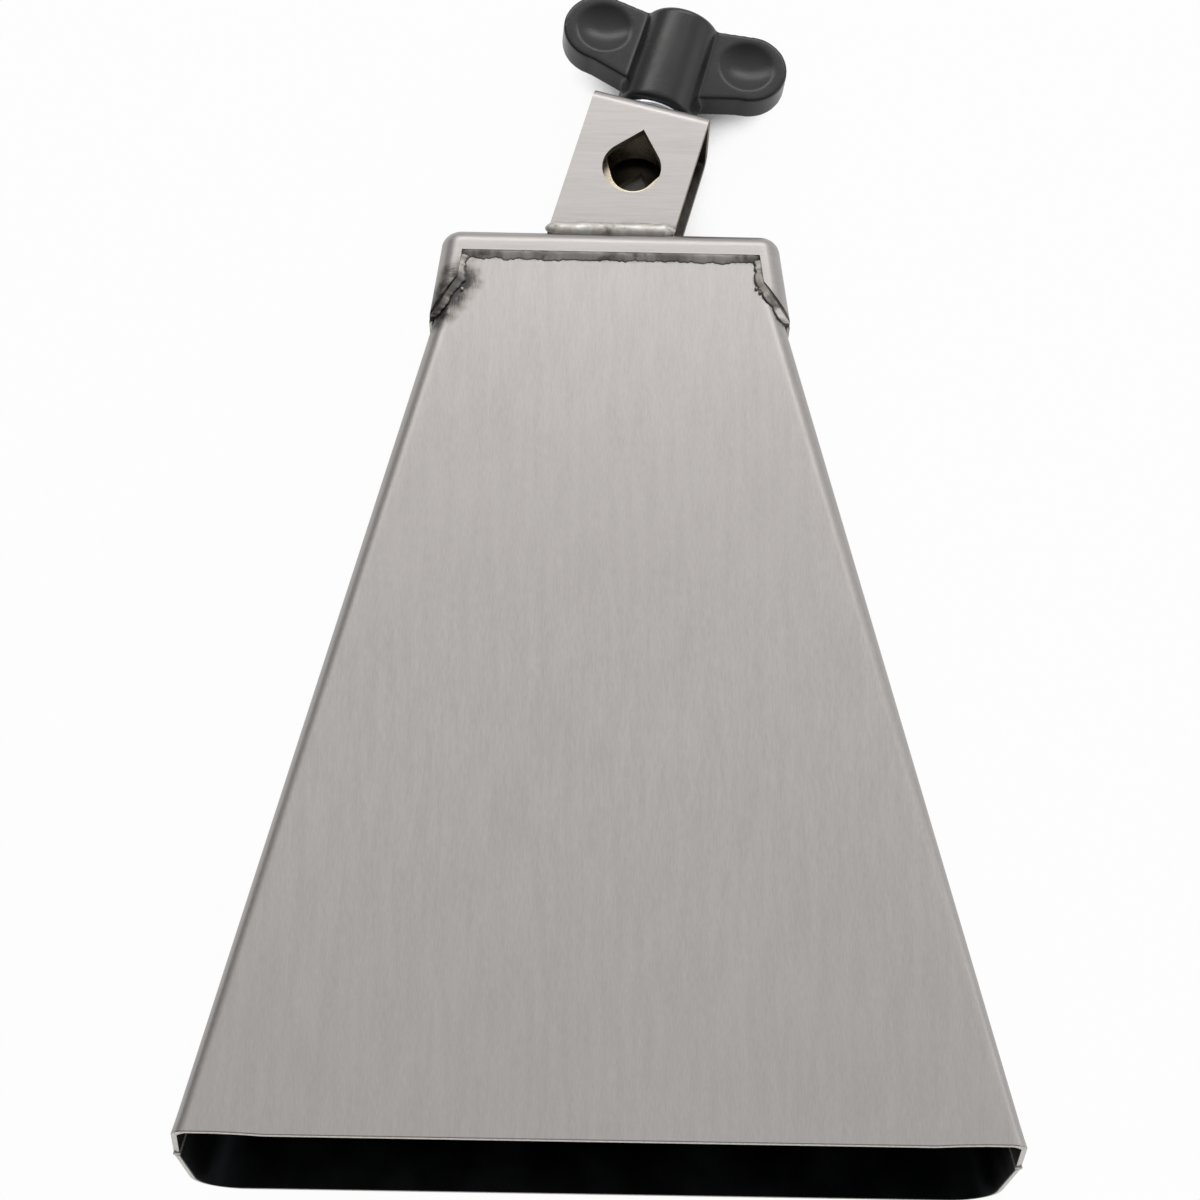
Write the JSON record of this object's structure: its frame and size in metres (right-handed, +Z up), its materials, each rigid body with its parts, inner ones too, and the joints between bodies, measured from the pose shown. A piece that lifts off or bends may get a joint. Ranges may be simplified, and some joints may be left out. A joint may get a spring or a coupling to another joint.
{
  "type": "cowbell",
  "caption": "Hand-played steel cowbell with a tapered body, welded crown and a leaning rod clamp tightened by a black wing nut.",
  "frame": {"origin": "on the surface that the bell lies on, under the middle of its bounding box", "axes": "+Z up, out of the playing face; +Y from the mouth to the clamp and the wing nut; +X to the right, seen from the playing face with the mouth nearest"},
  "size_m": [0.1632, 0.27, 0.0463],
  "materials": {
    "brushed_steel": "clear steel sheet, brushed along the bell",
    "bracket_steel": "flat bar, brushed across",
    "ground_weld": "weld ground flush and brushed",
    "weld_bead": "raw weld bead with dark heat tint",
    "zinc_plate": "bright zinc plating",
    "black_nylon": "moulded black nylon with a fine grain",
    "brass": "turned brass"
  },
  "bodies": {
    "bell": {"front_shell": "brushed_steel", "rear_shell": "brushed_steel", "side_seam_welds": "ground_weld", "mouth_corner_tacks": "weld_bead", "crown_cap": "brushed_steel", "cap_front_weld": "weld_bead", "cap_rear_weld": "weld_bead", "cap_side_welds": "weld_bead", "bracket": "bracket_steel", "bracket_front_weld": "weld_bead", "bracket_rear_weld": "weld_bead", "washer": "zinc_plate"},
    "wing": {"wing_nut": "black_nylon", "thread_insert": "brass"},
    "eye": {"eye_bolt": "zinc_plate"}
  },
  "joints": [
    {"name": "wing_turn", "type": "hinge", "parent": "bell", "child": "wing", "pos_m": [0.00933, 0.10467, 0.01151], "axis": [0.2588, 0.9647, -0.0492], "range_deg": [-360, 1440]},
    {"name": "eye_slide", "type": "slide", "parent": "bell", "child": "eye", "axis": [0.2588, 0.9647, -0.0492], "range_m": [-0.005, 0.00125]}
  ],
  "couplings": [
    {"joint": "wing_turn", "follows": "eye_slide", "rad_per_m": -5026.5}
  ]
}
